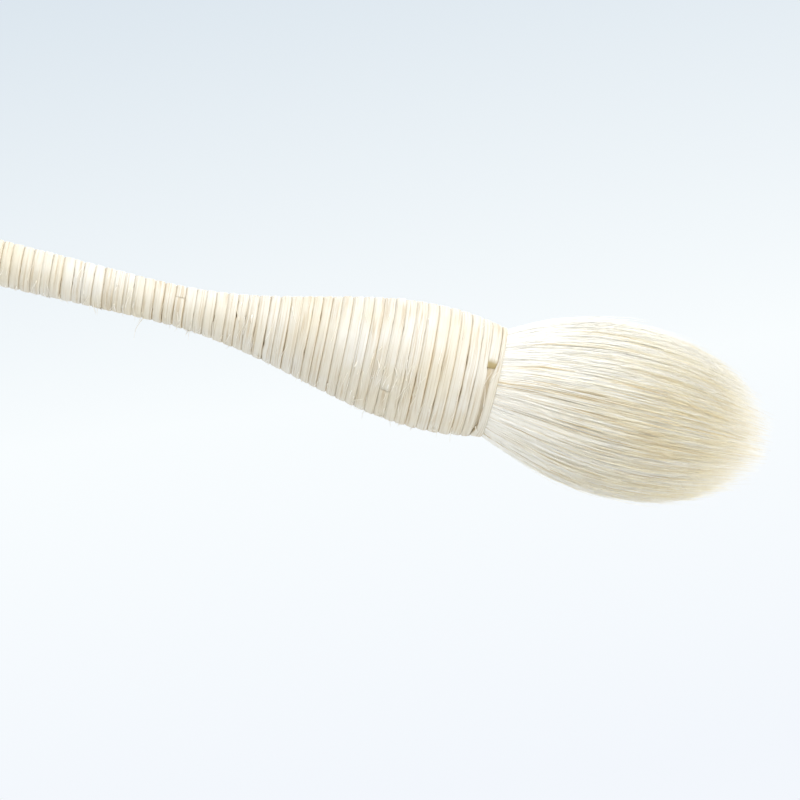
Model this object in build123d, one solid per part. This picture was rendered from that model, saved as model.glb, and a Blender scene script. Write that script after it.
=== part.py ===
"""Goat-hair brush with a gourd-shaped handle wound in reed, as an assembly of separate pieces.

The pieces are worked out standing on the butt, along +Z, and are turned at the end so that the
brush lies along +X with its tuft at the +X end and the origin at the centre of the butt face.
Angles round the handle are counted from the underside (-Z once turned) towards +Y, the top being
180 degrees and the -Y side 270 degrees.
"""
from build123d import *
import os
from math import cos, degrees, hypot, pi, radians, sin

# ---------------------------------------------------------------- driving dimensions, mm
HANDLE_LENGTH = 140.0        # butt face to the mouth, where the hair comes out
BUTT_RADIUS = 5.1            # over the reed, at the butt
WAIST_RADIUS = 4.05          # over the reed, at the thinnest place
BELLY_RADIUS = 12.6          # over the reed, at the fattest place
MOUTH_RADIUS = 11.15         # over the reed, at the mouth
WAIST_TO_MOUTH = 71.0
BELLY_TO_MOUTH = 13.0
TAPER_LEAN = 1.16            # above 1 the swelling starts slowly and ends fast

REED_WIDTH = 2.05            # along the handle
REED_THICKNESS = 1.5         # outwards from the handle
REED_GAP = 0.05              # between neighbouring turns
REED_BED = 0.05              # between the reed and the wood under it
SPLICE_GAP = 0.4             # between the cut ends of two lengths of reed
BUTT_MARGIN = 0.3            # bare wood left below the first turn
LOWER_SPLICE_TO_MOUTH = 65.2 # where the first length of reed ends
LOWER_SPLICE_ANGLE = 309.0
UPPER_SPLICE_TO_MOUTH = 22.8 # where the second length ends
UPPER_SPLICE_ANGLE = 305.0
LAST_CUT_ANGLE = 257.0       # where the winding stops against the mouth turn
MOUTH_CUT_ANGLE = 90.0       # where the two ends of the mouth turn meet

SHOULDER_TO_MOUTH = 60.0     # where the rod ends and the cup begins
SHAFT_END_ROUND = 0.5
TENON_RADIUS = 1.9
TENON_LENGTH = 20.0
TENON_END_GAP = 1.0          # glue space past the end of the tenon
GLUE_GAP = 0.03              # radial, in each glued joint

BORE_RADIUS = 8.2            # hair socket of the cup
RIM_BORE_RADIUS = 9.6        # the same socket, flared at the rim
RIM_TO_MOUTH = 6.0           # the last turns of reed bind the hair itself
FLARE_TO_MOUTH = 16.0        # where the socket starts to flare
SOCKET_DEPTH = 18.0          # below the rim
RESIN_HEIGHT = 3.0

THREAD_RADIUS = 0.3
TIE_TURNS = 5
TIE_LIFT = 1.0               # resin face to the first turn of thread
CORE_ROOT_RADIUS = 4.0
CORE_RADIUS = 9.0            # inner tuft at its fattest
CORE_WIDEST = 24.0           # beyond the mouth
CORE_LENGTH = 43.0           # beyond the mouth
HAIR_GAP = 0.05              # between the inner and the outer hair
TUFT_RADIUS = 17.95
TUFT_WIDEST = 26.6           # beyond the mouth
TUFT_LENGTH = 55.0           # beyond the mouth

QUARTER_ROUND = 0.5523       # how far a Bezier's handles reach to draw a quarter of an ellipse
STATION_STEP = 6.0           # spacing of the points that carry a curved outline
SLOPE_STEP = 0.1             # over which an outline's slope is measured
POINTS_PER_TURN = 12         # points that carry one turn of a helix

# ---------------------------------------------------------------- places that follow from them
WAIST_AT = HANDLE_LENGTH - WAIST_TO_MOUTH
BELLY_AT = HANDLE_LENGTH - BELLY_TO_MOUTH
SHOULDER_AT = HANDLE_LENGTH - SHOULDER_TO_MOUTH
RIM_AT = HANDLE_LENGTH - RIM_TO_MOUTH
FLARE_AT = HANDLE_LENGTH - FLARE_TO_MOUTH
FLOOR_AT = RIM_AT - SOCKET_DEPTH
ROOT_AT = FLOOR_AT + RESIN_HEIGHT
REED_PITCH = REED_WIDTH + REED_GAP
THREAD_PITCH = 2 * THREAD_RADIUS + REED_GAP
TIE_HEIGHT = (TIE_TURNS + 1) * THREAD_PITCH
MOUTH_TURN_AT = HANDLE_LENGTH - REED_WIDTH / 2
WINDING_START = BUTT_MARGIN + REED_WIDTH / 2
WINDING_END = MOUTH_TURN_AT - REED_PITCH


def winding_radius(z):
    """Radius over the reed: a straight taper, a cosine swelling, then a parabola to the mouth."""
    if z < WAIST_AT:
        return WAIST_RADIUS + (BUTT_RADIUS - WAIST_RADIUS) * (1 - z / WAIST_AT)
    if z < BELLY_AT:
        along = ((z - WAIST_AT) / (BELLY_AT - WAIST_AT)) ** TAPER_LEAN
        return WAIST_RADIUS + (BELLY_RADIUS - WAIST_RADIUS) * (1 - cos(pi * along)) / 2
    return BELLY_RADIUS - (BELLY_RADIUS - MOUTH_RADIUS) * ((z - BELLY_AT) / BELLY_TO_MOUTH) ** 2


def reed_reach(z):
    """How far the oval reed reaches from its middle, square to the axis, to a sloping outline."""
    slope = (winding_radius(z + SLOPE_STEP / 2) - winding_radius(z - SLOPE_STEP / 2)) / SLOPE_STEP
    return hypot(REED_THICKNESS / 2, slope * REED_WIDTH / 2)


def reed_middle(z):
    """Radius at which the reed's middle runs."""
    return winding_radius(z) - reed_reach(z)


def bed_radius(z):
    """Radius of what the reed lies on."""
    return reed_middle(z) - reed_reach(z) - REED_BED


def bed_points(low, high):
    """Points (radius, height) of the bed from low to high, evenly spaced."""
    steps = max(1, round((high - low) / STATION_STEP))
    heights = [low + (high - low) * i / steps for i in range(steps + 1)]
    return [(bed_radius(z), z) for z in heights]


def turned(*edges):
    """The solid that a closed outline, drawn as (radius, height), makes about the Z axis."""
    outline = Plane.XZ * make_face(Wire(edges))
    return revolve(outline, Axis.Z, 360)


def cylinder(radius, low, high):
    """A plain cylinder about the Z axis between two heights."""
    return Pos(0, 0, low) * Cylinder(radius, high - low, align=(Align.CENTER, Align.CENTER, Align.MIN))


# ---------------------------------------------------------------- wooden pieces
def make_shaft():
    """The rod: follows the winding up to its shoulder, then a tenon that enters the cup."""
    side = Spline(*bed_points(0, SHOULDER_AT))
    shoulder = (bed_radius(SHOULDER_AT), SHOULDER_AT)
    body = turned(
        side,
        Line(shoulder, (0, SHOULDER_AT)),
        Line((0, SHOULDER_AT), (0, 0)),
        Line((0, 0), (bed_radius(0), 0)),
    )
    butt_edge = body.edges().filter_by(GeomType.CIRCLE).sort_by(Axis.Z)[0]
    body = fillet(butt_edge, SHAFT_END_ROUND)
    return body + cylinder(TENON_RADIUS, SHOULDER_AT, SHOULDER_AT + TENON_LENGTH)


def make_cup():
    """The turned socket: swells under the winding, holds the tenon below and the hair above."""
    side = Spline(*bed_points(SHOULDER_AT, RIM_AT))
    bore_top = SHOULDER_AT + TENON_LENGTH + TENON_END_GAP
    body = turned(
        side,
        Line((bed_radius(RIM_AT), RIM_AT), (0, RIM_AT)),
        Line((0, RIM_AT), (0, SHOULDER_AT)),
        Line((0, SHOULDER_AT), (bed_radius(SHOULDER_AT), SHOULDER_AT)),
    )
    socket = turned(*socket_edges(FLOOR_AT, 0))
    return body - socket - cylinder(TENON_RADIUS + GLUE_GAP, SHOULDER_AT, bore_top)


def socket_edges(low, inset):
    """Closed outline of the hair socket from a height to the rim, drawn in by an inset."""
    wall = BORE_RADIUS - inset
    return (
        Line((0, low), (wall, low)),
        Line((wall, low), (wall, FLARE_AT)),
        Line((wall, FLARE_AT), (RIM_BORE_RADIUS - inset, RIM_AT)),
        Line((RIM_BORE_RADIUS - inset, RIM_AT), (0, RIM_AT)),
        Line((0, RIM_AT), (0, low)),
    )


def make_root_resin():
    """The plug of resin at the bottom of the socket, that holds the hair roots."""
    return cylinder(BORE_RADIUS - GLUE_GAP, FLOOR_AT, ROOT_AT)


# ---------------------------------------------------------------- hair
def tuft_edges(root_radius, radius, widest, length):
    """Free hair from the mouth to its tip: a parabola out to the widest place, then an ellipse."""
    mouth, belly = HANDLE_LENGTH, HANDLE_LENGTH + widest
    swell = Bezier((root_radius, mouth), (radius, mouth + widest / 2), (radius, belly))
    tip = mouth + length
    dome = Bezier(
        (radius, belly),
        (radius, belly + QUARTER_ROUND * (length - widest)),
        (QUARTER_ROUND * radius, tip),
        (0, tip),
    )
    return swell, dome


def make_core_hair(grow):
    """The inner bundle, straight in the handle and swollen beyond it, grown by a clearance."""
    root, tip = CORE_ROOT_RADIUS + grow, HANDLE_LENGTH + CORE_LENGTH + grow
    return turned(
        Line((0, ROOT_AT), (root, ROOT_AT)),
        Line((root, ROOT_AT), (root, HANDLE_LENGTH)),
        *tuft_edges(root, CORE_RADIUS + grow, CORE_WIDEST, CORE_LENGTH + grow),
        Line((0, tip), (0, ROOT_AT)),
    )


def make_mantle_hair():
    """The outer hair: fills the socket, is bound by the last turns of reed and swells beyond."""
    neck = BORE_RADIUS - GLUE_GAP - 2 * THREAD_RADIUS - HAIR_GAP
    free = RIM_AT + REED_WIDTH / 2
    bound = [(bed_radius(z), z) for z in (free, (free + HANDLE_LENGTH) / 2, HANDLE_LENGTH)]
    tip = HANDLE_LENGTH + TUFT_LENGTH
    roots = turned(*socket_edges(ROOT_AT, GLUE_GAP))
    tie_top = ROOT_AT + TIE_LIFT + TIE_HEIGHT
    tie_groove = cylinder(BORE_RADIUS, ROOT_AT, tie_top) - cylinder(neck, ROOT_AT, tie_top)
    tuft = turned(
        Line((0, RIM_AT), (RIM_BORE_RADIUS - GLUE_GAP, RIM_AT)),
        Line((RIM_BORE_RADIUS - GLUE_GAP, RIM_AT), bound[0]),
        Spline(*bound),
        *tuft_edges(bound[-1][0], TUFT_RADIUS, TUFT_WIDEST, TUFT_LENGTH),
        Line((0, tip), (0, RIM_AT)),
    )
    thread_room = CORE_ROOT_RADIUS + 2 * THREAD_RADIUS + HAIR_GAP
    hollow = make_core_hair(HAIR_GAP) + cylinder(thread_room, ROOT_AT, tie_top)
    return roots + tuft - tie_groove - hollow


def make_tie(radius):
    """A few turns of round thread laid side by side about a bundle of the given radius."""
    height = TIE_TURNS * THREAD_PITCH
    path = Edge.make_helix(THREAD_PITCH, height, radius + THREAD_RADIUS,
                           center=(0, 0, ROOT_AT + TIE_LIFT + THREAD_RADIUS))
    section = Plane(origin=path @ 0, z_dir=path % 0) * Circle(THREAD_RADIUS)
    return Solid.sweep(section.face(), path, is_frenet=True)


# ---------------------------------------------------------------- reed
def reed_section(origin, z_dir):
    """The oval section of the reed, its width along the handle."""
    place = Plane(origin=origin, x_dir=(0, 0, 1), z_dir=z_dir)
    return (place * Ellipse(REED_WIDTH / 2, REED_THICKNESS / 2)).face()


def reed_height(turn):
    """Height of the reed's middle, a number of turns before the end of the winding."""
    return WINDING_END - turn * REED_PITCH


def reed_point(turn):
    """The reed's middle, a number of turns before the end of the winding."""
    height = reed_height(turn)
    angle = radians(LAST_CUT_ANGLE) - 2 * pi * turn
    middle = reed_middle(height)
    return Vector(middle * cos(angle), middle * sin(angle), height)


def turns_before_end(height, angle):
    """Turns from a cut end to the end of the winding, for the cut nearest a height."""
    part_turn = (LAST_CUT_ANGLE - angle) / 360
    return round((WINDING_END - height) / REED_PITCH - part_turn) + part_turn


def half_splice(turn):
    """Half the gap at a splice, in turns."""
    return SPLICE_GAP / 2 / (2 * pi * winding_radius(reed_height(turn)))


def make_reed(first_turn, last_turn):
    """One length of reed wound from first_turn to last_turn, both counted back from the end."""
    steps = round((first_turn - last_turn) * POINTS_PER_TURN)
    turns = [first_turn + (last_turn - first_turn) * i / steps for i in range(steps + 1)]
    path = Edge.make_spline([reed_point(turn) for turn in turns])
    return Solid.sweep(reed_section(path @ 0, path % 0), path, is_frenet=True)


def make_mouth_turn():
    """The single flat turn that closes the winding, its two cut ends a splice gap apart."""
    middle = reed_middle(MOUTH_TURN_AT)
    gap = degrees(SPLICE_GAP / middle)
    section = reed_section((middle, 0, MOUTH_TURN_AT), (0, 1, 0))
    ring = revolve(section, Axis.Z, 360 - gap)
    return Rot(0, 0, MOUTH_CUT_ANGLE + gap / 2) * ring


# ---------------------------------------------------------------- assembly
START_TURN = (WINDING_END - WINDING_START) / REED_PITCH
LOWER_TURN = turns_before_end(HANDLE_LENGTH - LOWER_SPLICE_TO_MOUTH, LOWER_SPLICE_ANGLE)
UPPER_TURN = turns_before_end(HANDLE_LENGTH - UPPER_SPLICE_TO_MOUTH, UPPER_SPLICE_ANGLE)
LOWER_GAP = half_splice(LOWER_TURN)
UPPER_GAP = half_splice(UPPER_TURN)

PIECES = {
    "shaft": make_shaft(),
    "cup": make_cup(),
    "root_resin": make_root_resin(),
    "hair_core": make_core_hair(0),
    "core_tie": make_tie(CORE_ROOT_RADIUS),
    "hair_mantle": make_mantle_hair(),
    "mantle_tie": make_tie(BORE_RADIUS - GLUE_GAP - 2 * THREAD_RADIUS - HAIR_GAP),
    "winding_lower": make_reed(START_TURN, LOWER_TURN + LOWER_GAP),
    "winding_middle": make_reed(LOWER_TURN - LOWER_GAP, UPPER_TURN + UPPER_GAP),
    "winding_upper": make_reed(UPPER_TURN - UPPER_GAP, 0),
    "mouth_turn": make_mouth_turn(),
}

LAY_DOWN = Rot(0, 90, 0)     # +Z of the standing pieces becomes +X

os.makedirs("parts", exist_ok=True)
for name, piece in PIECES.items():
    laid = LAY_DOWN * piece
    laid.label = name
    export_step(laid, f"parts/{name}.step")
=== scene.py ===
"""Looks of a goat-hair brush with a reed-wound handle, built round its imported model.

Lengths are metres in the model's own frame: the brush lies along +X from the butt, at the origin,
to the tip of the tuft, and +Z is up. Angles round the handle are degrees from the underside (-Z)
through the far side (+Y), the top (180) and the near side (270).
"""
import logging
import math
from dataclasses import dataclass, field
from enum import Enum

import bpy
import numpy as np
from mathutils import Matrix, Vector


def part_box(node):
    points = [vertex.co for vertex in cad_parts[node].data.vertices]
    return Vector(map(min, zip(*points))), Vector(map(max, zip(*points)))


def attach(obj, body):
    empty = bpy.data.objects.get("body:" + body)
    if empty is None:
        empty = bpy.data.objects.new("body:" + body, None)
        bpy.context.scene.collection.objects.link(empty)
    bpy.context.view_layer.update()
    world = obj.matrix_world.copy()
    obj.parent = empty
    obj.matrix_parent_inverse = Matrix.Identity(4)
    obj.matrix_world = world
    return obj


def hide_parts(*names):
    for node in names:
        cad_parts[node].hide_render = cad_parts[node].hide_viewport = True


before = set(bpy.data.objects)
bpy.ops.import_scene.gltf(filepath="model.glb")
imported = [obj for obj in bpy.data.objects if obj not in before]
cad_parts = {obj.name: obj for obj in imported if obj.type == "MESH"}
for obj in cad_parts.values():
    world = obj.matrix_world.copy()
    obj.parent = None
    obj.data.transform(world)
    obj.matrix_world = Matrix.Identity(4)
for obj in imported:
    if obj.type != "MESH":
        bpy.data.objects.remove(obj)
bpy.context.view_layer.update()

LOG = logging.getLogger("brush")
MM = 0.001


class Slot(Enum):
    """The record's material slots."""

    WOOD = "bare_wood"
    REED = "reed"
    HAIR = "goat_hair"
    THREAD = "binding_thread"
    RESIN = "resin"


class MapName(Enum):
    """Names of the maps that pieces carry."""

    BAKE = "OFBake"
    FIBRE = "Fibre"


# ------------------------------------------------------------------------------ shader writing
COLOUR_A, COLOUR_B, COLOUR_OUT = 6, 7, 2    # numbers of a colour Mix node's sockets


class Wire:
    """An output socket that can stand in a Python expression; each operator adds its Math node."""

    def __init__(self, writer: "NodeWriter", socket: bpy.types.NodeSocket) -> None:
        """Keeps the socket and the writer of its tree."""
        self.writer = writer
        self.socket = socket

    def _math(self, operation: str, *values: "Wire | float") -> "Wire":
        """Adds one Math node on the given values."""
        settings = {"operation": operation}
        return self.writer.node("ShaderNodeMath", settings, dict(enumerate(values)))

    def __add__(self, other: "Wire | float") -> "Wire":
        """Sum."""
        return self._math("ADD", self, other)

    def __radd__(self, other: float) -> "Wire":
        """Sum, reflected."""
        return self._math("ADD", other, self)

    def __sub__(self, other: "Wire | float") -> "Wire":
        """Difference."""
        return self._math("SUBTRACT", self, other)

    def __rsub__(self, other: float) -> "Wire":
        """Difference, reflected."""
        return self._math("SUBTRACT", other, self)

    def __mul__(self, other: "Wire | float") -> "Wire":
        """Product."""
        return self._math("MULTIPLY", self, other)

    def __rmul__(self, other: float) -> "Wire":
        """Product, reflected."""
        return self._math("MULTIPLY", other, self)

    def __abs__(self) -> "Wire":
        """Size without its sign."""
        return self._math("ABSOLUTE", self)

    def clamp(self) -> "Wire":
        """The value held between 0 and 1."""
        return self._math("MINIMUM", self._math("MAXIMUM", self, 0.0), 1.0)


class NodeWriter:
    """Writes a node tree as a list of nodes and expressions."""

    def __init__(self, tree: bpy.types.NodeTree) -> None:
        """Takes a tree and empties it."""
        self.tree = tree
        self.tree.nodes.clear()

    def feed(self, target: bpy.types.NodeSocket, value: object) -> None:
        """Links a wire to a socket, or sets a constant on it.

        Args:
            target: the input socket.
            value: a Wire, a number, or a tuple for a colour or vector.
        """
        if isinstance(value, Wire):
            self.tree.links.new(value.socket, target)
        else:
            target.default_value = value

    def node(self, kind: str, settings: dict | None = None, inputs: dict | None = None,
             output: int | str = 0) -> Wire:
        """Adds any node.

        Args:
            kind: the node's type name.
            settings: its own settings, set first; "stops" holds a colour ramp's stops.
            inputs: values or wires by socket name or number.
            output: which of its outputs is wanted.

        Returns:
            The wanted output as a wire.
        """
        made = self.tree.nodes.new(kind)
        for key, value in (settings or {}).items():
            if key == "stops":
                self._set_stops(made.color_ramp, value)
            else:
                setattr(made, key, value)
        for key, value in (inputs or {}).items():
            self.feed(made.inputs[key], value)
        return Wire(self, made.outputs[output])

    @staticmethod
    def _set_stops(ramp: bpy.types.ColorRamp, stops: tuple) -> None:
        """Gives a colour ramp its stops.

        Args:
            ramp: the ramp.
            stops: a position and a colour for each stop.
        """
        while len(ramp.elements) < len(stops):
            ramp.elements.new(1.0)
        for element, (position, colour) in zip(ramp.elements, stops):
            element.position = position
            element.color = (*colour, 1.0)

    def ramp(self, value: Wire, low: float, high: float) -> Wire:
        """A straight rise from 0 at low to 1 at high, held flat outside."""
        return self.node("ShaderNodeMapRange", {}, {0: value, 1: low, 2: high, 3: 0.0, 4: 1.0})

    def close(self, kind: str, surface: Wire) -> None:
        """Adds the tree's output node and feeds its surface."""
        self.feed(self.tree.nodes.new(kind).inputs["Surface"], surface)


class Shader(NodeWriter):
    """A material being written round one Principled shader."""

    def __init__(self, name: str) -> None:
        """Makes an empty material with one Principled shader as its surface.

        Args:
            name: the material's name.
        """
        self.material = bpy.data.materials.new(name)
        self.material.use_nodes = True
        super().__init__(self.material.node_tree)
        self.surface = self.tree.nodes.new("ShaderNodeBsdfPrincipled")
        self.close("ShaderNodeOutputMaterial", Wire(self, self.surface.outputs["BSDF"]))

    def mix(self, factor: Wire | float, first: Wire | tuple, second: Wire | tuple) -> Wire:
        """A mix of two colours.

        Args:
            factor: 0 gives the first colour, 1 the second.
            first: a wire or a colour of three numbers.
            second: a wire or a colour of three numbers.

        Returns:
            The mixed colour.
        """
        a, b = (c if isinstance(c, Wire) else (*c, 1.0) for c in (first, second))
        inputs = {0: factor, COLOUR_A: a, COLOUR_B: b}
        return self.node("ShaderNodeMix", {"data_type": "RGBA"}, inputs, COLOUR_OUT)

    def noise(self, vector: Wire, scale: float, detail: float = 3.0,
              roughness: float = 0.55) -> Wire:
        """Fractal noise about 0.5."""
        inputs = {"Vector": vector, "Scale": scale, "Detail": detail, "Roughness": roughness}
        return self.node("ShaderNodeTexNoise", {}, inputs)

    def stretched(self, vector: Wire, factors: tuple[float, float, float]) -> Wire:
        """Coordinates multiplied axis by axis, so that a pattern is drawn out along one of them."""
        return self.node("ShaderNodeVectorMath", {"operation": "MULTIPLY"}, {0: vector, 1: factors})

    def drawn_noise(self, vector: Wire, factors: tuple, *detail: float) -> Wire:
        """Noise on stretched coordinates, with its detail and roughness."""
        return self.noise(self.stretched(vector, factors), 1.0, *detail)

    def object_place(self) -> Wire:
        """The piece's own coordinates, in metres."""
        return self.node("ShaderNodeTexCoord", output="Object")

    def map_place(self, name: MapName) -> Wire:
        """Coordinates of one of the piece's own maps."""
        return self.node("ShaderNodeUVMap", {"uv_map": name.value})

    def attribute(self, name: str) -> Wire:
        """A number that the piece carries at each point."""
        return self.node("ShaderNodeAttribute", {"attribute_name": name}, output="Fac")

    def bump(self, height: Wire, distance: float, strength: float = 1.0) -> Wire:
        """A Bump node's normal."""
        inputs = {"Height": height, "Distance": distance, "Strength": strength}
        return self.node("ShaderNodeBump", {}, inputs, "Normal")

    def finish(self, **sockets: Wire | float | tuple) -> bpy.types.Material:
        """Feeds the Principled shader's sockets.

        Args:
            sockets: a wire or constant for each socket, its name written with underscores.

        Returns:
            The finished material.
        """
        for key, value in sockets.items():
            if isinstance(value, tuple):
                value = (*value, 1.0)
            self.feed(self.surface.inputs[key.replace("_", " ")], value)
        return self.material


# ------------------------------------------------------------------------------ finishes
@dataclass(frozen=True)
class ReedFinish:
    """Bleached split reed: pale, matte and creased along its length; the tan of its grooves is
    painted shade.
    """

    pale: tuple = (0.645, 0.628, 0.564)
    warm: tuple = (0.608, 0.560, 0.438)
    streak: tuple = (0.445, 0.345, 0.205)
    # tan painted shade, laid on the strands' side walls in the grooves between turns
    groove_shade: tuple = (0.600, 0.480, 0.290)
    cut: tuple = (0.380, 0.300, 0.140)
    fibre_width: float = 0.20 * MM
    crease_width: float = 0.55 * MM
    fibre_length: float = 9.0 * MM
    strand_run: float = 26.0 * MM
    blotch: float = 12.0 * MM
    creases_across: float = 0.9 / MM    # how often creases come and go across a strand
    crease_half_width: float = 0.05     # of the noise's range
    crease_span: tuple = (0.38, 0.58)   # noise over which a crease comes in
    blotch_span: tuple = (0.38, 0.66)   # noise over which each colour gives way to the next
    strand_span: tuple = (0.40, 0.66)
    fibre_span: tuple = (0.50, 0.72)

    def material(self) -> bpy.types.Material:
        """Builds the material.

        Creases lie where a long, narrow noise passes through its middle value, and come and go
        with a second noise.

        Returns:
            The reed material, which reads the strand's Fibre map: length in u, girth in v.
        """
        s = Shader("bleached_reed")
        along = s.map_place(MapName.FIBRE)
        fibres = s.drawn_noise(along, (1 / self.fibre_length, 1 / self.fibre_width, 1.0), 3.0, 0.6)
        bands = s.drawn_noise(along, (0.3 / self.fibre_length, 1 / self.crease_width, 1.0), 1.0)
        strand = s.drawn_noise(along, (1 / self.strand_run, 0.0, 0.0), 2.0)
        blotches = s.noise(s.object_place(), 1 / self.blotch, 3.0)
        presence = s.drawn_noise(along, (2 / self.strand_run, self.creases_across, 0.0), 1.0)
        crease = 1 - s.ramp(abs(bands - 0.5), 0.0, self.crease_half_width)
        crease = crease * s.ramp(presence, *self.crease_span)
        tone = s.mix(s.ramp(blotches, *self.blotch_span), self.pale, self.warm)
        tone = s.mix(s.ramp(strand, *self.strand_span) * 0.5, tone, self.warm)
        tone = s.mix(s.ramp(fibres, *self.fibre_span) * 0.40, tone, self.streak)
        tone = s.mix(crease * 0.75, tone, self.streak)
        # painted shade in the grooves: a strand's side walls take the grooves' tan colour, by the
        # side attribute
        tone = s.mix((s.attribute("side") * (0.6 + fibres * 0.7)).clamp(), tone, self.groove_shade)
        tone = s.mix(s.attribute("cut"), tone, self.cut)
        height = fibres * 0.4 + bands * 0.3 - crease * 0.3
        rough = 0.45 + fibres * 0.25
        return s.finish(Base_Color=tone, Roughness=rough, Normal=s.bump(height, 0.15 * MM, 0.9),
                        Specular_IOR_Level=0.6)


@dataclass(frozen=True)
class FibreFinish:
    """Loose fibres and splinters of reed: paler than the strand they have left."""

    pale: tuple = (0.880, 0.855, 0.780)
    warm: tuple = (0.800, 0.740, 0.590)
    patch: float = 3.0 * MM

    def material(self) -> bpy.types.Material:
        """Builds the material, with a tone that changes from place to place.

        Returns:
            The fibre material.
        """
        s = Shader("loose_reed_fibre")
        patches = s.noise(s.object_place(), 1 / self.patch, 2.0)
        colour = s.mix(s.ramp(patches, 0.40, 0.65), self.pale, self.warm)
        return s.finish(Base_Color=colour, Roughness=0.5, Specular_IOR_Level=0.3)


@dataclass(frozen=True)
class HairFinish:
    """Undyed goat hair: near white at the root, cream further out, each hair its own tone; the tone
    also holds painted light, whiter on top of the tuft and a little underneath.
    """

    root: tuple = (0.950, 0.925, 0.840)
    cream: tuple = (0.955, 0.893, 0.670)
    white: tuple = (0.950, 0.938, 0.880)
    tan: tuple = (0.680, 0.535, 0.280)

    def material(self) -> bpy.types.Material:
        """Builds the material from the numbers that each hair carries.

        Returns:
            The hair material.
        """
        s = Shader("goat_hair")
        along = s.attribute("along")
        tone = s.attribute("tone")
        colour = s.mix(s.ramp(along, 0.05, 0.65), self.root, self.cream)
        colour = s.mix(s.ramp(along, 0.82, 1.0) * 0.6, colour, self.root)
        # low tone mixes in white: the hairs' own random whiteness, and the painted light that
        # whitens hairs on top as a highlight and those underneath a little
        colour = s.mix(s.ramp(tone, 0.42, 0.05) * 0.95, colour, self.white)
        colour = s.mix(s.ramp(tone, 0.62, 1.0) * 0.9, colour, self.tan)
        return s.finish(Base_Color=colour, Roughness=0.40, Specular_IOR_Level=0.8)


@dataclass(frozen=True)
class MassFinish:
    """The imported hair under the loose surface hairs: the same hair, in its own shade."""

    light: tuple = (0.930, 0.880, 0.730)
    dark: tuple = (0.720, 0.630, 0.440)
    strand: float = 0.25 * MM
    run: float = 14.0 * MM

    def material(self) -> bpy.types.Material:
        """Builds the material, with streaks that run along the brush.

        Returns:
            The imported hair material, which reads the Fibre map: length in u, girth in v.
        """
        s = Shader("packed_hair")
        along = s.map_place(MapName.FIBRE)
        streaks = s.drawn_noise(along, (1 / self.run, 1 / self.strand, 1.0), 4.0, 0.65)
        colour = s.mix(s.ramp(streaks, 0.30, 0.65), self.dark, self.light)
        return s.finish(Base_Color=colour, Roughness=0.6, Normal=s.bump(streaks, 0.2 * MM),
                        Specular_IOR_Level=0.3)


@dataclass(frozen=True)
class WoodFinish:
    """Turned, unvarnished wood with grain along the handle and rings on its sawn end."""

    pale: tuple = (0.640, 0.470, 0.270)
    dark: tuple = (0.380, 0.240, 0.110)
    grain: float = 0.5 * MM
    run: float = 16.0 * MM
    ring: float = 0.55 * MM

    def material(self) -> bpy.types.Material:
        """Builds the material on object coordinates.

        Returns:
            The wood material.
        """
        s = Shader("turned_wood")
        place = s.object_place()
        grain = s.drawn_noise(place, (1 / self.run, 1 / self.grain, 1 / self.grain), 5.0, 0.6)
        bent = s.stretched(place, (0.15, 1.0, 1.0))
        rings = s.node("ShaderNodeTexWave", {"wave_type": "RINGS", "rings_direction": "X"},
                       {"Vector": bent, "Scale": 0.3 / self.ring, "Distortion": 3.0, "Detail": 2.0})
        colour = s.mix((grain * 0.8 + rings * 0.3).clamp(), self.dark, self.pale)
        return s.finish(Base_Color=colour, Roughness=0.5 + grain * 0.2,
                        Normal=s.bump(grain, 0.08 * MM, 0.6))


@dataclass(frozen=True)
class ThreadFinish:
    """Waxed cotton thread with its twist."""

    pale: tuple = (0.80, 0.75, 0.63)
    dark: tuple = (0.48, 0.42, 0.31)
    twist: float = 0.35 * MM

    def material(self) -> bpy.types.Material:
        """Builds the material: a slanting wave is the twist.

        Returns:
            The thread material.
        """
        s = Shader("waxed_thread")
        place = s.object_place()
        wave = s.node("ShaderNodeTexWave", {"bands_direction": "DIAGONAL"},
                      {"Vector": place, "Scale": 0.3 / self.twist, "Distortion": 1.5})
        colour = s.mix(wave, self.dark, self.pale)
        return s.finish(Base_Color=colour, Roughness=0.7, Normal=s.bump(wave, 0.05 * MM))


@dataclass(frozen=True)
class ResinFinish:
    """Hard amber rosin with a cloudy surface."""

    clear: tuple = (0.42, 0.22, 0.05)
    cloudy: tuple = (0.66, 0.45, 0.18)
    cloud: float = 2.5 * MM

    def material(self) -> bpy.types.Material:
        """Builds the material.

        Returns:
            The resin material.
        """
        s = Shader("rosin")
        clouds = s.noise(s.object_place(), 1 / self.cloud, 4.0)
        colour = s.mix(s.ramp(clouds, 0.35, 0.65), self.clear, self.cloudy)
        return s.finish(Base_Color=colour, Roughness=0.18 + clouds * 0.3,
                        Normal=s.bump(clouds, 0.1 * MM, 0.4))


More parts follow.
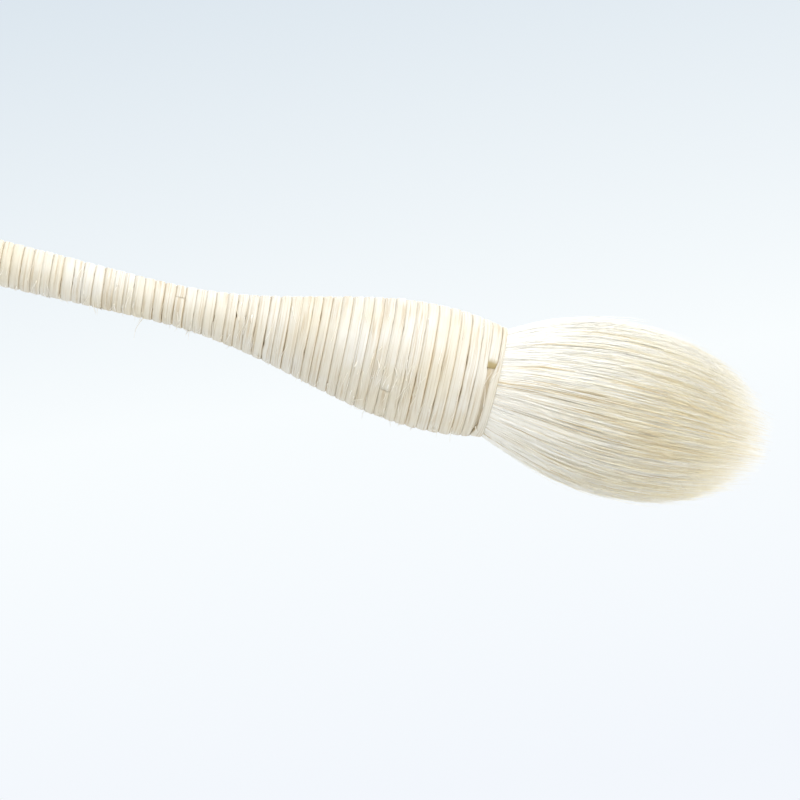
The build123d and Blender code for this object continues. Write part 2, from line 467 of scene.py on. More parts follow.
# ------------------------------------------------------------------------------ mesh building
@dataclass
class Grid:
    """Rings of points, row after row, and the faces between them."""

    points: np.ndarray                  # rows x columns x 3

    def cells(self) -> list[np.ndarray]:
        """Row and column of every four-sided face, rows first."""
        rows, columns = self.points.shape[:2]
        return np.meshgrid(np.arange(rows - 1), np.arange(columns), indexing="ij")

    def quads(self) -> np.ndarray:
        """Four-sided faces between each ring and the next.

        Returns:
            Corner numbers of every face, rows first, facing outwards.
        """
        columns = self.points.shape[1]
        row, column = self.cells()
        after = (column + 1) % columns
        corners = [row * columns + column, row * columns + after,
                   (row + 1) * columns + after, (row + 1) * columns + column]
        return np.stack(corners, -1).reshape(-1, 4)

    def fans(self) -> np.ndarray:
        """Triangles that close both ends on a centre point each.

        Returns:
            Corner numbers; the centres follow the grid's own points.
        """
        rows, columns = self.points.shape[:2]
        here = np.arange(columns)
        after = (here + 1) % columns
        centre = rows * columns
        base = (rows - 1) * columns
        low = np.stack([after, here, np.full(columns, centre)], -1)
        high = np.stack([base + here, base + after, np.full(columns, centre + 1)], -1)
        return np.concatenate([low, high])

    def piece(self, name: str) -> bpy.types.Object:
        """Makes a closed piece, each end drawn to its middle."""
        points = np.concatenate([self.points.reshape(-1, 3), self.points[[0, -1]].mean(1)])
        return build_mesh(name, points, self.quads(), self.fans())


def build_mesh(name: str, points: np.ndarray, quads: np.ndarray,
               triangles: np.ndarray) -> bpy.types.Object:
    """Puts whole arrays of points and faces into a new object at the origin, shaded smooth.

    Args:
        name: the piece's name.
        points: n x 3 places in metres.
        quads: corner numbers of the four-sided faces.
        triangles: corner numbers of the three-sided faces.

    Returns:
        The new object, linked to the scene.
    """
    mesh = bpy.data.meshes.new(name)
    mesh.vertices.add(len(points))
    mesh.vertices.foreach_set("co", np.ascontiguousarray(points, np.float32).ravel())
    corners = np.concatenate([quads.ravel(), triangles.ravel()]).astype(np.int32)
    sizes = np.repeat([4, 3], [len(quads), len(triangles)]).astype(np.int32)
    starts = np.concatenate([[0], np.cumsum(sizes)[:-1]]).astype(np.int32)
    mesh.loops.add(len(corners))
    mesh.loops.foreach_set("vertex_index", corners)
    mesh.polygons.add(len(sizes))
    mesh.polygons.foreach_set("loop_start", starts)
    mesh.polygons.foreach_set("loop_total", sizes)
    mesh.polygons.foreach_set("use_smooth", np.full(len(sizes), True))
    mesh.update(calc_edges=True)
    mesh.validate()
    made = bpy.data.objects.new(name, mesh)
    bpy.context.scene.collection.objects.link(made)
    return made


def add_numbers(piece: bpy.types.Object, name: str, values: np.ndarray) -> None:
    """Gives the piece one number at each point, as an attribute of the given name."""
    layer = piece.data.attributes.new(name, "FLOAT", "POINT")
    layer.data.foreach_set("value", np.ascontiguousarray(values, np.float32).ravel())


def add_map(piece: bpy.types.Object, name: MapName, places: np.ndarray) -> None:
    """Gives the piece a map with one place, two numbers, for each face corner."""
    layer = piece.data.uv_layers.new(name=name.value)
    layer.data.foreach_set("uv", np.ascontiguousarray(places, np.float32).ravel())


def dress(piece: bpy.types.Object, material: bpy.types.Material) -> None:
    """Gives a piece its one material."""
    piece.data.materials.clear()
    piece.data.materials.append(material)


def hand_over(piece: bpy.types.Object, material: bpy.types.Material, slot: Slot,
              *stands_for: str) -> None:
    """Dresses a new piece, makes it ride on the brush and hides the model's nodes that it stands
    for.

    Args:
        piece: the object.
        material: its material.
        slot: the record's material slot.
        stands_for: the model's nodes that it replaces.
    """
    dress(piece, material)
    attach(piece, "root")
    if stands_for:
        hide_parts(*stands_for)
    LOG.info("%s: %d faces, slot %s", piece.name, len(piece.data.polygons), slot.value)


def wander(rng: np.random.Generator, where: np.ndarray, step: float, size: float) -> np.ndarray:
    """Smooth chance variation: random heights a step apart, joined by cosine ramps.

    Args:
        rng: the seeded generator.
        where: positions, in any unit.
        step: spacing of the random heights, in the same unit.
        size: their standard deviation.

    Returns:
        One value for each position.
    """
    shifted = (where - where.min()) / step
    heights = rng.normal(0.0, size, int(shifted.max()) + 3)
    low = np.floor(shifted).astype(int)
    ease = (1 - np.cos(np.pi * (shifted - low))) / 2
    return heights[low] * (1 - ease) + heights[low + 1] * ease


def eased(values: np.ndarray, span: int) -> np.ndarray:
    """Running mean over an odd number of neighbours, the ends held."""
    return np.convolve(np.pad(values, span // 2, "edge"), np.ones(span) / span, "valid")


def running_length(points: np.ndarray) -> np.ndarray:
    """Length run along a line of points, from 0 at the first."""
    return np.concatenate([[0.0], np.cumsum(np.linalg.norm(np.diff(points, axis=0), axis=1))])


def cell_corners(u: np.ndarray, v: np.ndarray, row: np.ndarray, column: np.ndarray) -> np.ndarray:
    """Map places of a grid's face corners.

    Args:
        u: one number for each row.
        v: one number for each column, and one more.
        row: each face's row.
        column: each face's column.

    Returns:
        corners x 2 places.
    """
    across = np.stack([u[row], u[row], u[row + 1], u[row + 1]], -1)
    upwards = np.stack([v[column], v[column + 1], v[column + 1], v[column]], -1)
    return np.stack([across, upwards], -1).reshape(-1, 2)


def thin_tubes(name: str, points: np.ndarray, radii: np.ndarray, sides: int,
               rng: np.random.Generator) -> bpy.types.Object:
    """Many thin tubes in one piece, each with its ends closed.

    Each tube's section is a regular polygon across its direction, turned by chance. Every tube
    has its own cell in a square map, its length across and its sides upwards.

    Args:
        name: the piece's name.
        points: tubes x points x 3 centre lines.
        radii: tubes x points radii.
        sides: corners of a section.
        rng: the seeded generator.

    Returns:
        The object.
    """
    count, rows = points.shape[:2]
    ahead = np.gradient(points, axis=1)
    ahead /= np.linalg.norm(ahead, axis=2, keepdims=True)
    first = np.cross(ahead, np.array([0.0, 0.3, 1.0]))
    first /= np.linalg.norm(first, axis=2, keepdims=True)
    second = np.cross(ahead, first)
    angle = rng.uniform(0, 2 * np.pi, (count, 1, 1)) + 2 * np.pi * np.arange(sides) / sides
    angle = angle[..., None]
    ring = first[:, :, None] * np.cos(angle) + second[:, :, None] * np.sin(angle)
    corners = points[:, :, None] + radii[:, :, None, None] * ring
    single = Grid(np.zeros((rows, sides, 3))).quads()
    offset = (np.arange(count) * rows * sides)[:, None, None]
    last = (rows - 1) * sides
    ends = np.array([[2, 1, 0], [last, last + 1, last + 2]])
    piece = build_mesh(name, corners.reshape(-1, 3), (single[None] + offset).reshape(-1, 4),
                       (ends[None] + offset).reshape(-1, 3))
    cells = math.ceil(math.sqrt(count))
    inset, span, tip = 0.12, 0.76, 0.05     # of a cell: its margin, what is used, an end's size
    cell = np.arange(count)
    corner = np.stack([cell % cells, cell // cells], -1)[:, None, :]
    walls = cell_corners(np.arange(rows) / (rows - 1), np.arange(sides + 1) / sides,
                         single[:, 0] // sides, single[:, 0] % sides)
    tips = np.array([[0, 0], [tip, 0], [0, tip], [1, 0], [1 - tip, 0], [1, tip]])
    places = [((part[None] * span + inset + corner) / cells).reshape(-1, 2)
              for part in (walls, tips)]
    add_map(piece, MapName.BAKE, np.concatenate(places))
    return piece


# ------------------------------------------------------------------------------ the handle's form
@dataclass(frozen=True)
class HandleForm:
    """The outline over the reed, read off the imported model's boxes where it can be."""

    mouth: float
    butt_radius: float = 5.1 * MM
    waist_radius: float = 4.05 * MM
    belly_radius: float = 12.6 * MM
    mouth_radius: float = 11.15 * MM
    waist_to_mouth: float = 71.0 * MM
    belly_to_mouth: float = 13.0 * MM
    lean: float = 1.16

    def radius(self, x: np.ndarray) -> np.ndarray:
        """Radius over the reed.

        A straight taper from the butt to the waist; then half a cosine wave, leaning towards the
        mouth, up to the belly; then a parabola down to the mouth.

        Args:
            x: places along the handle.

        Returns:
            The radius at each.
        """
        waist, belly = self.mouth - self.waist_to_mouth, self.mouth - self.belly_to_mouth
        taper = self.waist_radius + (self.butt_radius - self.waist_radius) * (1 - x / waist)
        along = np.clip((x - waist) / (belly - waist), 0.0, 1.0) ** self.lean
        rise = (1 - np.cos(np.pi * along)) / 2
        swell = self.waist_radius + (self.belly_radius - self.waist_radius) * rise
        past = (x - belly) / self.belly_to_mouth
        close = self.belly_radius - (self.belly_radius - self.mouth_radius) * past ** 2
        return np.where(x < waist, taper, np.where(x < belly, swell, close))


def ring_place(x: np.ndarray, radius: np.ndarray, degrees: np.ndarray) -> np.ndarray:
    """Points round the brush's axis: x along it, then the radius turned from -Z towards +Y.

    Args:
        x: places along the brush.
        radius: distances from its axis.
        degrees: angles round it.

    Returns:
        The points, three numbers each.
    """
    turn = np.radians(degrees)
    x, radius, turn = np.broadcast_arrays(x, radius, turn)
    return np.stack([x, radius * np.sin(turn), -radius * np.cos(turn)], -1)


# ------------------------------------------------------------------------------ the winding
@dataclass
class Winding:
    """The reed that covers the handle: three lengths on one right-handed helix and a mouth turn."""

    form: HandleForm
    cut_angle: float = 257.0            # where the helix ends against the mouth turn
    ring_cut_angle: float = 90.0        # where the ends of the mouth turn meet
    thickness: float = 1.5 * MM
    nominal_width: float = 2.1 * MM
    gap: float = 0.10 * MM              # between turns where a groove is widest
    lap: float = 0.045 * MM             # how far a strand presses into its neighbour
    squareness: float = 4.3             # exponent of the superellipse section
    around: int = 24                    # points round the section
    per_turn: int = 72                  # sections in one turn
    lower_splice: float = 30.03         # turns before the cut end
    upper_splice: float = 8.87
    splice_gap: float = 0.0015          # turns
    bevel: float = 0.024                # turns over which the cut end slopes
    bevel_steps: tuple = (0.003, 0.006, 0.010, 0.018)   # sections added on that slope
    end_lift: float = 0.22 * MM         # how far the cut end stands up
    end_run: float = 0.03               # turns over which it sinks back
    last_turns: tuple = ((0.0, 0.214, 0.755, 0.83, 0.936, 0.985, 1.0, 2.0),
                         (1.0, 1.1, 2.55, 2.35, 2.5, 2.6, 2.9, 4.77))   # turns, then mm
    belly_turns: float = 16.0
    belly_pitch: float = 2.36           # mm a turn beside the mouth
    closing_up: float = 0.0145          # mm, half of what the pitch loses in a turn
    taper_pitch: float = 2.08           # mm a turn from the taper to the butt
    free_edge: tuple = ((257, 262, 330, 343), (1.25, 1.75, 1.70, 2.45))     # degrees, then mm
    free_end: float = 345.0             # where the mouth turn meets the winding again
    wide_grooves: tuple = ((5.84, 6.18, 1.0), (6.83, 6.92, 1.8))    # turns between, openness
    # the painted shade of the grooves covers a strand's edges beyond this share
    rim: float = 0.86                   # share of half a strand's width where its groove starts
    ridge: float = 0.022 * MM           # height of the ridges that run along a strand
    seed: int = 11
    finish: ReedFinish = field(default_factory=ReedFinish)
    rng: np.random.Generator = field(init=False)
    drift: tuple = field(init=False)    # chance wandering of the grooves, by turns
    openness: tuple = field(init=False)

    def __post_init__(self) -> None:
        """Draws the chance wandering of the grooves and how open each is."""
        self.rng = np.random.default_rng(self.seed)
        knots = np.arange(0.0, 70.0, 0.02)
        moved = wander(self.rng, knots, 0.35, 0.05 * MM) + wander(self.rng, knots, 1.3, 0.09 * MM)
        self.drift = (knots, moved * np.clip(knots - 1.0, 0.0, 1.0))
        opened = 0.35 + wander(self.rng, knots, 0.30, 0.20) + wander(self.rng, knots, 1.1, 0.42)
        opened = np.clip(opened, 0.03, 1.4)
        for first, last, wide in self.wide_grooves:
            opened[(knots > first) & (knots < last)] = wide
        self.openness = (knots, eased(opened, 5))

    def upper_edge(self, turn: np.ndarray) -> np.ndarray:
        """Where the mouth side of the reed lies, a number of turns before the cut end.

        The last turn is squeezed against the mouth turn, so its edge follows a few listed
        places; the belly's turns start 2.36 mm apart and close up by 0.029 mm a turn; from the
        taper to the butt they are 2.08 mm apart. The chance wandering is added.

        Args:
            turn: turns counted back from the cut end.

        Returns:
            Places along the handle.
        """
        turns, places = self.last_turns
        past = turn - turns[-1]
        in_belly = np.clip(past, 0, self.belly_turns)
        belly = (places[-1] + self.belly_pitch * in_belly - self.closing_up * in_belly ** 2
                 + self.taper_pitch * np.clip(past - self.belly_turns, 0, None))
        edge = np.where(past < 0, np.interp(turn, turns, places), belly)
        return self.form.mouth - edge * MM + np.interp(turn, *self.drift)

    def build(self) -> None:
        """Makes every length of reed and the mouth turn, and dresses them."""
        material = self.finish.material()
        knots = self.drift[0][:-60]
        start = float(np.interp(-0.35 * MM, -self.upper_edge(knots + 1), knots))
        joint = self.splice_gap / 2
        spans = {"winding_upper": (self.upper_splice - joint, 0.0),
                 "winding_middle": (self.lower_splice - joint, self.upper_splice + joint),
                 "winding_lower": (start, self.lower_splice + joint)}
        for node, (first, last) in spans.items():
            hand_over(self._length(node + "_reed", first, last), material, Slot.REED, node)
        hand_over(self._mouth_turn(), material, Slot.REED, "mouth_turn")
        hand_over(self._tail(), material, Slot.REED)

    def _oval(self) -> np.ndarray:
        """Points of the reed's section, as shares of its half width and half thickness.

        A superellipse: cosine and sine, each raised to 2 over the squareness with its sign kept.
        The points are then spread evenly along its edge.

        Returns:
            around x 2 shares: along the handle, outwards.
        """
        psi = np.linspace(0, 2 * np.pi, 721)
        power = 2 / self.squareness
        fine = np.stack([np.sign(c) * np.abs(c) ** power for c in (np.cos(psi), np.sin(psi))], -1)
        size = fine * np.array([self.nominal_width, self.thickness])
        run = running_length(size)
        even = np.linspace(0, run[-1], self.around, endpoint=False)
        return np.stack([np.interp(even, run, fine[:, axis]) for axis in (0, 1)], -1)

    def _section(self, low: np.ndarray, high: np.ndarray, lift: np.ndarray, height: np.ndarray,
                 degrees: np.ndarray) -> tuple[np.ndarray, np.ndarray]:
        """Places of every section point of a strand.

        Each section is the oval stretched between its two edges; its outer half is scaled by the
        height, leans a little to one side, and carries ridges that run along the strand and
        drift slowly.

        Args:
            low: place of each section's butt edge along the handle.
            high: place of each section's mouth edge.
            lift: how far each section stands off its bed.
            height: share of the outer half that is there, 1 except at a cut end.
            degrees: angle of each section round the handle.

        Returns:
            The points, sections x around x 3, and how near each is to the section's edges, 0 to 1,
            with its sign: negative on the butt side.
        """
        across, outward = self._oval().T[:, None, :]
        where = np.arange(len(low)) / self.per_turn
        phases = [wander(self.rng, where, 0.4, 1.5)[:, None] for _ in range(4)]
        ridges = sum(np.sin(k * np.pi * across + phase) / k ** 0.7
                     for k, phase in enumerate(phases, 1))
        lean = wander(self.rng, where, 0.5, 0.05 * MM)[:, None] * across
        outer = np.clip(outward * 1.6, 0.0, 1.0)
        x = (low + high)[:, None] / 2 + (high - low)[:, None] / 2 * across
        bed = self.form.radius(np.clip(x, 0.0, self.form.mouth)) - self.thickness
        half = self.thickness / 2
        tall = np.where(outward > 0, height[:, None], 1.0)
        radius = bed + half * (1 + outward * tall) + lift[:, None]
        radius = radius + outer * (lean + self.ridge * ridges)
        near = np.clip((np.abs(across) - self.rim) / (1 - self.rim), 0, 1)
        side = np.where(outward < 0.2, 1.0, near) * np.where(across < 0, -1.0, 1.0)
        side = side * np.ones_like(x)
        return ring_place(x, radius, degrees[:, None]), side

    def _strand(self, name: str, points: np.ndarray, side: np.ndarray, cut: np.ndarray,
                turns: np.ndarray) -> bpy.types.Object:
        """Closes a strand's sections into a piece with its maps and numbers.

        Args:
            name: the piece's name.
            points: sections x around x 3 places.
            side: sections x around share of the grooves' colour, which is painted shade.
            cut: share of cut colour at each section.
            turns: whole turn that each section belongs to, from 0.

        Returns:
            The object.
        """
        rows, columns = points.shape[:2]
        grid = Grid(points)
        piece = grid.piece(name)
        add_numbers(piece, "side", np.concatenate([side.ravel(), [0, 0]]))
        add_numbers(piece, "cut", np.concatenate([np.repeat(cut, columns), cut[[0, -1]]]))
        run = running_length(points[:, 0])
        girth = running_length(points[0, np.append(np.arange(columns), 0)])
        row, column = grid.cells()
        cap = np.zeros((6 * columns, 2))
        add_map(piece, MapName.FIBRE, np.concatenate([cell_corners(run, girth, row, column), cap]))
        strip = turns[:-1] - turns.min()
        strips = strip.max() + 2
        within = np.arange(rows - 1) - np.searchsorted(turns, turns[:-1])
        width = 0.94 / (self.per_turn * 2 + 1)
        left = 0.02 + within[row] * width
        low = (strip[row] + 0.1 + 0.8 * column / columns) / strips
        high = low + 0.8 / columns / strips
        u = np.stack([left, left, left + width, left + width], -1)
        v = np.stack([low, high, high, low], -1)
        spin = np.tile(np.array([[0, 0], [0.5, 0], [0.25, 0.4]]), (2 * columns, 1)) / strips
        spin += np.array([0.05, 1 - 0.8 / strips])
        add_map(piece, MapName.BAKE, np.concatenate([np.stack([u, v], -1).reshape(-1, 2), spin]))
        return piece

    def _length(self, name: str, first: float, last: float) -> bpy.types.Object:
        """One length of reed on the helix, cut on a slope where the helix ends.

        Args:
            name: the piece's name.
            first: its start, in turns before the cut end.
            last: its end, in turns before the cut end.

        Returns:
            The object.
        """
        sections = int(round((first - last) * self.per_turn)) + 1
        turn = np.linspace(first, last, sections)
        if last == 0.0:
            turn = np.sort(np.append(turn, self.bevel_steps))[::-1]
        degrees = self.cut_angle - 360.0 * turn
        # grooves are shut more towards the top: narrower there, and with less painted shade
        shut = 1 - 0.6 * np.clip(-np.cos(np.radians(degrees)), 0, 1)
        above, below = (shut * np.interp(turn + on, *self.openness) for on in (0, 1))
        high = self.upper_edge(turn) + self.lap - self.gap / 2 * above - self._nicks(turn)
        low = self.upper_edge(turn + 1) - self.lap + self.gap / 2 * below + self._nicks(turn)
        lift = wander(self.rng, turn, 0.3, 0.03 * MM) + wander(self.rng, turn, 0.08, 0.012 * MM)
        lift += self.end_lift * np.exp(-turn / self.end_run)
        slope = np.clip(turn / self.bevel, 0.0, 1.0)
        points, side = self._section(low, high, lift, 1.4 * slope ** 0.7 - 0.4, degrees)
        # painted shade: a strand's side walls take the grooves' colour, the more the wider the
        # groove beside them is open
        groove_shade = np.where(side > 0, side * above[:, None], -side * below[:, None])
        whole = np.floor(first - turn + 1e-9).astype(int)
        return self._strand(name, points, groove_shade, np.clip(2.2 * (1 - slope), 0.0, 1.0), whole)

    def _nicks(self, turn: np.ndarray) -> np.ndarray:
        """How far a ragged edge falls short of its neighbour: the outward half of a fast wander."""
        ragged = wander(self.rng, turn, 0.035, 0.07 * MM) + wander(self.rng, turn, 0.4, 0.04 * MM)
        return np.clip(ragged - 0.07 * MM, 0, 1)

    def _mouth_turn(self) -> bpy.types.Object:
        """The flat turn that closes the winding: narrow beside the cut end, wide below it.

        Returns:
            The object.
        """
        degrees = self.ring_cut_angle + np.linspace(0.5, 359.5, self.per_turn * 2 + 1)
        turn = (self.cut_angle - degrees) / 360.0
        beside = self.upper_edge(np.where(turn >= 0, turn, turn + 1)) + 0.04 * MM
        free = self.form.mouth - np.interp(degrees, *self.free_edge) * MM
        low = np.where((degrees > self.cut_angle) & (degrees < self.free_end), free, beside)
        low = eased(low, 7)
        high = np.full_like(low, self.form.mouth)
        lift = wander(self.rng, degrees, 40.0, 0.02 * MM)
        points, side = self._section(low, high, lift, np.ones_like(low), degrees)
        # painted shade at the mouth turn's edges, more on its butt side
        groove_shade = np.abs(side) * np.where(side > 0, 0.25, 0.5)
        plain = np.zeros(len(low))
        return self._strand("mouth_turn_reed", points, groove_shade, plain, plain.astype(int))

    def _tail(self) -> bpy.types.Object:
        """The thinned end of the winding, tucked in under the mouth turn below the cut.

        Returns:
            The object.
        """
        degrees = np.linspace(self.cut_angle - 6.0, 352.0, self.per_turn)
        share = np.linspace(0.0, 1.0, self.per_turn)
        low = np.full(self.per_turn, self.form.mouth - 2.75 * MM)
        high = low + 1.6 * MM
        lift = -0.62 * MM - 0.25 * MM * share
        points, side = self._section(low, high, lift, np.full(self.per_turn, 0.8), degrees)
        whole = np.zeros(self.per_turn, int)
        # painted shade: the whole tail takes the grooves' colour, as it lies in the shade under the
        # mouth turn; it also takes more of the cut colour towards its far end
        groove_shade = np.full_like(side, 0.45)
        return self._strand("winding_tail_reed", points, groove_shade, 0.25 * share, whole)


# ------------------------------------------------------------------------------ loose fibres
@dataclass
class Frays:
    """Loose fibres and splinters that stand off the reed."""

    form: HandleForm
    fibres: int = 200
    splinters: int = 30
    reach: tuple = (1.0, 105.0)         # mm before the mouth, of the fibres that lie anywhere
    by_splice: float = 0.17             # share that lies about the upper splice
    nub: tuple = (18.5, 1.1)            # mm before the mouth: middle and spread
    scar: tuple = (21.0, 3.4)
    nub_angle: tuple = (289.0, 5.0)     # degrees: middle and spread
    scar_angle: tuple = (290.0, 14.0)
    underside: tuple = (325.0, 50.0)
    segments: int = 7
    sides: int = 3
    seed: int = 23
    finish: FibreFinish = field(default_factory=FibreFinish)

    def build(self) -> None:
        """Makes the loose fibres and the splinters, and dresses them."""
        material = self.finish.material()
        rng = np.random.default_rng(self.seed)
        fibres = self._paths(self.fibres, rng, 1.2 * MM, 4.6 * MM, 0.45)
        fibres[0] = self._hanging()
        splinters = self._paths(self.splinters, rng, 0.9 * MM, 2.2 * MM, 0.10)
        thick = {"reed_fibres": (fibres, 0.045 * MM, 0.085 * MM),
                 "reed_splinters": (splinters, 0.12 * MM, 0.20 * MM)}
        for name, (paths, thinnest, thickest) in thick.items():
            step = np.linspace(0, 1, self.segments + 1)[None, :]
            radii = rng.uniform(thinnest, thickest, (len(paths), 1)) * (1 - 0.8 * step ** 2)
            hand_over(thin_tubes(name, paths, radii, self.sides, rng), material, Slot.REED)

    def _paths(self, count: int, rng: np.random.Generator, shortest: float, longest: float,
               rise: float) -> np.ndarray:
        """Centre lines of loose fibres.

        Each starts on the reed, follows the strand round the handle and leaves it with the square
        of the distance run. One in six lies about the upper splice, half of those at its torn
        nub; the rest lie anywhere, most of them on the underside.

        Args:
            count: how many.
            rng: the seeded generator.
            shortest: least length.
            longest: greatest length.
            rise: share of its length that the longest fibre's tip stands off the reed.

        Returns:
            count x points x 3 places.
        """
        about = rng.random(count) < self.by_splice
        torn = rng.random(count) < 0.5
        near = np.where(torn, rng.normal(*self.nub, count), rng.normal(*self.scar, count))
        before = np.where(about, near, rng.uniform(*self.reach, count)) * MM
        x = (self.form.mouth - before)[:, None]
        angle = np.where(torn, rng.normal(*self.nub_angle, count),
                         rng.normal(*self.scar_angle, count))
        degrees = np.where(about, angle, rng.normal(*self.underside, count))
        step = np.linspace(0, 1, self.segments + 1)[None, :]
        length = rng.uniform(shortest, longest, (count, 1))
        length = length * np.where(rng.random((count, 1)) < 0.5, 1, -1)
        base = self.form.radius(x)
        turned = degrees[:, None] + np.degrees(length * step / base)
        away = np.abs(length) * rng.uniform(0.0, rise, (count, 1)) * step ** 2
        drift = np.abs(length) * rng.normal(0.0, 0.22, (count, 1)) * step ** 1.5
        curl = 0.12 * MM * np.sin(rng.uniform(0, 6.28, (count, 1)) + 5.0 * step) * step
        return ring_place(x + drift + curl, base + 0.02 * MM + away + curl, turned)

    def _hanging(self) -> np.ndarray:
        """The one long fibre that hangs from the waist, in a slack curve.

        Returns:
            points x 3 places.
        """
        step = np.linspace(0, 1, self.segments + 1)
        waist = self.form.mouth - self.form.waist_to_mouth
        drop = self.form.waist_radius * 0.9 + 5.0 * MM * step
        back = waist - 1.2 * MM * np.sin(2.2 * step)
        return np.stack([back, -1.5 * MM + 0.4 * MM * step, -drop], -1)


# ------------------------------------------------------------------------------ the tuft
@dataclass
class Tuft:
    """Goat hair: packed roots and inner mass, and some tens of thousands of separate hairs."""

    form: HandleForm
    root_at: float                      # the resin face that the roots stand on
    radius: float = 17.4 * MM
    root_radius: float = 10.8 * MM      # of the outline where it passes the mouth
    widest: float = 26.6 * MM           # beyond the mouth
    length: float = 55.0 * MM           # beyond the mouth
    rise: float = 0.5 * MM              # how far the free hair stands above the axis
    closing: float = 0.35               # share of the outline's radius lost by the tip
    pieces: int = 8
    hairs_per_piece: int = 4300
    segments: int = 7
    sides: int = 3
    thickness: float = 0.066 * MM       # radius of a hair
    outer_share: float = 0.62           # of the hairs lie in the skin
    skin_top: float = 1.01              # layer of the outermost hair
    skin_depth: float = 0.12            # spread of the skin's layers, inwards from it
    inner_area: float = 0.95            # share of the section that the other hairs fill
    past_dome: tuple = (-3.0, 2.8)      # mm beyond the dome that hairs end: mean and spread
    short_share: float = 0.10           # of the hairs end well before the dome,
    short_by: tuple = (4.0, 20.0)       # by so many mm
    stray_share: float = 0.035          # of the hairs stand away,
    stray_by: float = 0.10              # by up to this share of the radius
    draw: float = 0.10                  # how far a hair is drawn to its lock by the tip
    sway: float = 0.012                 # of a hair's own wave, as a share of the radius
    packed: tuple = (0.86, 0.84)        # share of the radius and length that is packed hair
    core: tuple = (24 * MM, 43 * MM, 9 * MM)    # inner bundle: widest place, tip, radius
    streaks: tuple = ((0.55, 0.28), (1.4, 0.16))    # of tone: degrees apart, strength
    lock_spread: tuple = (0.002, 0.09)  # of how far locks stand out, and of their tone
    locks: int = 3600
    seed: int = 5
    finish: HairFinish = field(default_factory=HairFinish)
    mass: MassFinish = field(default_factory=MassFinish)
    rng: np.random.Generator = field(init=False)
    shades: np.ndarray = field(init=False)      # tone added, by distance and by quarter degrees
    lock_places: np.ndarray = field(init=False)     # each lock's place across the tuft
    lock_marks: np.ndarray = field(init=False)      # how far each lock stands out, and its tone

    def __post_init__(self) -> None:
        """Draws the locks, and how the tone changes round and along the tuft."""
        self.rng = np.random.default_rng(self.seed)
        angles = np.arange(0.0, 361.0, 0.25)
        self.shades = np.stack([sum(wander(self.rng, angles, *kind) for kind in self.streaks)
                                for _ in range(self.segments + 3)])
        layer = np.sqrt(self.rng.uniform(0, 1, self.locks))
        turn = self.rng.uniform(0, 2 * np.pi, self.locks)
        self.lock_places = np.stack([layer * np.cos(turn), layer * np.sin(turn)])
        self.lock_marks = np.stack([self.rng.normal(0, spread, self.locks)
                                    for spread in self.lock_spread])

    def outline(self, s: np.ndarray) -> np.ndarray:
        """Radius that the outermost hair would keep to, as distance beyond the mouth grows.

        A parabola from the mouth to the widest place; past it another, much slower, so that hairs
        close in less than the dome does and end on it one after the other.

        Args:
            s: distance beyond the mouth.

        Returns:
            The radius.
        """
        swell = self.radius - (self.radius - self.root_radius) * (1 - s / self.widest) ** 2
        share = (s - self.widest) / (self.length - self.widest)
        return np.where(s < self.widest, swell, self.radius * (1 - self.closing * share ** 2))

    def end_of(self, layer: np.ndarray) -> np.ndarray:
        """Distance beyond the mouth at which a hair of a layer meets the dome.

        The dome is a quarter ellipse, so that layer is the ellipse's height over the outline's;
        the table of it is read backwards.

        Args:
            layer: 0 on the axis, 1 in the skin.

        Returns:
            The distance.
        """
        share = np.linspace(1.0, 0.0, 200)
        met = np.sqrt(1 - share ** 2) / (1 - self.closing * share ** 2)
        return self.widest + (self.length - self.widest) * np.interp(layer, met, share)

    def lift(self, s: np.ndarray) -> np.ndarray:
        """How far the free hair stands above the axis: an eased step just beyond the mouth."""
        share = np.clip(s / (8 * MM), 0, 1)
        return self.rise * share ** 2 * (3 - 2 * share)

    def _layers(self, count: int) -> np.ndarray:
        """Draws hairs' layers: most thin out inwards from the skin, the rest fill the tuft.

        Args:
            count: how many hairs.

        Returns:
            Each hair's share of the outline's radius.
        """
        outer = self.rng.random(count) < self.outer_share
        skin = self.skin_top - np.abs(self.rng.normal(0.0, self.skin_depth, count))
        skin = np.clip(skin, 0.3, self.skin_top)
        return np.where(outer, skin, np.sqrt(self.rng.uniform(0.0, self.inner_area, count)))

    def _ends(self, layer: np.ndarray) -> np.ndarray:
        """Draws where hairs end: about the dome, some of them well before it.

        Args:
            layer: the hairs' layers.

        Returns:
            Distances beyond the mouth.
        """
        over = self.rng.normal(*self.past_dome, len(layer)) * MM
        end = np.minimum(self.end_of(layer) + over, self.length + 1.5 * MM)
        short = self.rng.random(len(layer)) < self.short_share
        return np.where(short, end - self.rng.uniform(*self.short_by, len(layer)) * MM, end)

    def _tones(self, s: np.ndarray, degrees: np.ndarray, height: np.ndarray,
               lock_tone: np.ndarray) -> np.ndarray:
        """Tone along hairs: their own, their lock's and that of the streak that they lie in, with
        painted light added by height.

        The hairs on top are made whiter as a painted highlight, those underneath a little whiter as
        painted fill against their shade; the streaks, read from a table by distance and angle, grow
        stronger along the tuft.

        Args:
            s: distances beyond the mouth, count x points.
            degrees: angles round the tuft, count x points, from 0 to 360.
            height: how far up in the section each hair starts, -1 to 1.
            lock_tone: the tone of each hair's lock.

        Returns:
            count x points tones, 0 white to 1 tan.
        """
        station = np.clip(s / (8 * MM), 0, len(self.shades) - 1.001)
        before, share = station.astype(int), station % 1
        quarter = (degrees * 4).astype(int)
        shade = (self.shades[before, quarter] * (1 - share)
                 + self.shades[before + 1, quarter] * share)
        own = self.rng.normal(0.42, 0.24, len(s)) + lock_tone
        # painted light: hairs on top are made whiter as a painted highlight, those underneath a
        # little whiter as painted fill against their shade
        own = own - 0.65 * np.clip(height - 0.15, 0, 1) - 0.20 * np.clip(-height - 0.2, 0, 1)
        return np.clip(own[:, None] + shade * (0.45 + 0.95 * np.clip(s / (40 * MM), 0, 1)), 0, 1)

